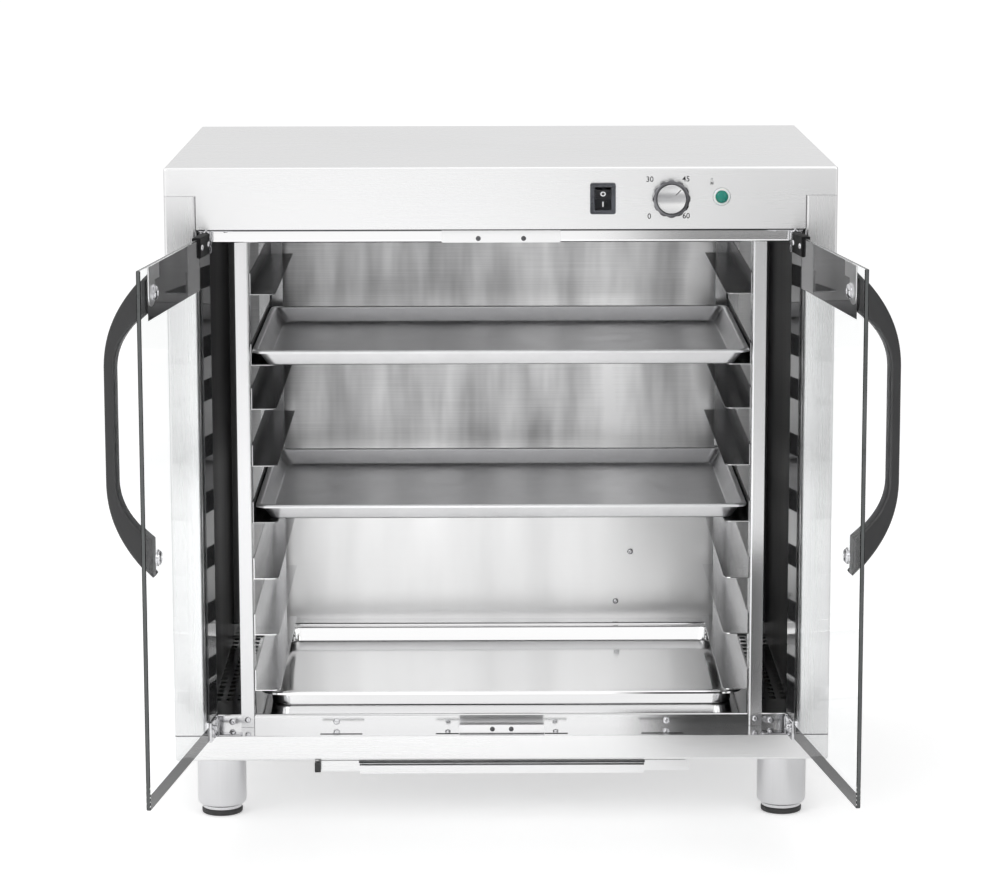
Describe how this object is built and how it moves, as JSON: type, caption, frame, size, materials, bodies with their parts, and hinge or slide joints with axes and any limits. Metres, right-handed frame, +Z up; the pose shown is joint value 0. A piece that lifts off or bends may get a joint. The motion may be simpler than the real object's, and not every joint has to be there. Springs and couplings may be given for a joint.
{
  "type": "proofing cabinet",
  "caption": "Heated stainless proofing cabinet on feet, with outward-swinging glass doors, a rack of ledges holding baking trays, a water pan, a drip tray and a front control fascia.",
  "frame": {"origin": "centre of the bounding box's footprint, on the surface that the foot pads stand on, with the doors open as in the picture", "axes": "+X to the right across the front, +Y into the cabinet from the doors to the back, +Z up"},
  "size_m": [0.8894, 0.9374, 0.8],
  "materials": {
    "satin_stainless": "brushed",
    "chamber_stainless": "satin",
    "bright_stainless": "bright",
    "tray_aluminium": "satin",
    "door_glass": "polished toughened glass",
    "handle_grey": "satin",
    "hinge_black": "fine texture",
    "dial_metal": "satin",
    "switch_grey": "gloss",
    "rocker_black": "gloss",
    "pilot_green": "gloss",
    "control_grey": "matte",
    "element_sheath": "oxidised",
    "pad_rubber": "matte"
  },
  "bodies": {
    "cabinet": {"top_cover": "satin_stainless", "left_side_panel": "satin_stainless", "right_side_panel": "satin_stainless", "rear_panel": "satin_stainless", "base_pan": "satin_stainless", "sill": "bright_stainless", "liner": "chamber_stainless", "ceiling_panel": "chamber_stainless", "floor_panel": "chamber_stainless", "left_front_upright": "bright_stainless", "right_front_upright": "bright_stainless", "left_rear_upright": "chamber_stainless", "right_rear_upright": "chamber_stainless", "left_rail_1": "chamber_stainless", "left_rail_2": "chamber_stainless", "left_rail_3": "chamber_stainless", "left_rail_4": "chamber_stainless", "left_rail_5": "chamber_stainless", "left_rail_6": "chamber_stainless", "left_rail_7": "chamber_stainless", "left_rail_8": "chamber_stainless", "right_rail_1": "chamber_stainless", "right_rail_2": "chamber_stainless", "right_rail_3": "chamber_stainless", "right_rail_4": "chamber_stainless", "right_rail_5": "chamber_stainless", "right_rail_6": "chamber_stainless", "right_rail_7": "chamber_stainless", "right_rail_8": "chamber_stainless", "top_catch": "bright_stainless", "bottom_catch": "bright_stainless", "switch_housing": "switch_grey", "pilot_light": "pilot_green", "thermostat": "control_grey", "heating_element": "element_sheath", "cable_gland": "hinge_black", "front_left_foot": "bright_stainless", "front_right_foot": "bright_stainless", "rear_left_foot": "bright_stainless", "rear_right_foot": "bright_stainless", "front_left_foot_pad": "pad_rubber", "front_right_foot_pad": "pad_rubber", "rear_left_foot_pad": "pad_rubber", "rear_right_foot_pad": "pad_rubber"},
    "left_door": {"left_door_glass": "door_glass", "left_door_handle": "handle_grey", "left_door_keeper": "satin_stainless", "left_door_top_clamp": "hinge_black", "left_door_bottom_clamp": "hinge_black"},
    "right_door": {"right_door_glass": "door_glass", "right_door_handle": "handle_grey", "right_door_keeper": "satin_stainless", "right_door_top_clamp": "hinge_black", "right_door_bottom_clamp": "hinge_black"},
    "dial": {"knob": "dial_metal"},
    "switch_rocker": {"rocker": "rocker_black"},
    "upper_tray": {"upper_tray": "tray_aluminium"},
    "lower_tray": {"lower_tray": "tray_aluminium"},
    "water_pan": {"water_pan": "bright_stainless"},
    "drip_tray": {"drip_tray": "bright_stainless"}
  },
  "joints": [
    {"name": "left_door_hinge", "type": "hinge", "parent": "cabinet", "child": "left_door", "pos_m": [-0.35, -0.12327, 0.415], "axis": [0, 0, 1], "range_deg": [-12, 98]},
    {"name": "right_door_hinge", "type": "hinge", "parent": "cabinet", "child": "right_door", "pos_m": [0.35, -0.12327, 0.415], "axis": [0, 0, -1], "range_deg": [-12, 98]},
    {"name": "dial_turn", "type": "hinge", "parent": "cabinet", "child": "dial", "pos_m": [0.202, -0.13577, 0.7625], "axis": [0, 1, 0], "range_deg": [-180, 90]},
    {"name": "rocker_tilt", "type": "hinge", "parent": "cabinet", "child": "switch_rocker", "pos_m": [0.121, -0.12477, 0.7625], "axis": [1, 0, 0], "range_deg": [-12, 0]},
    {"name": "upper_tray_slide", "type": "slide", "parent": "cabinet", "child": "upper_tray", "axis": [0, 1, 0], "range_m": [-0.3, 0.025]},
    {"name": "lower_tray_slide", "type": "slide", "parent": "cabinet", "child": "lower_tray", "axis": [0, 1, 0], "range_m": [-0.3, 0]},
    {"name": "water_pan_slide", "type": "slide", "parent": "cabinet", "child": "water_pan", "axis": [0, 1, 0], "range_m": [-0.3, 0]},
    {"name": "drip_tray_slide", "type": "slide", "parent": "cabinet", "child": "drip_tray", "axis": [0, 1, 0], "range_m": [-0.08, 0]}
  ]
}
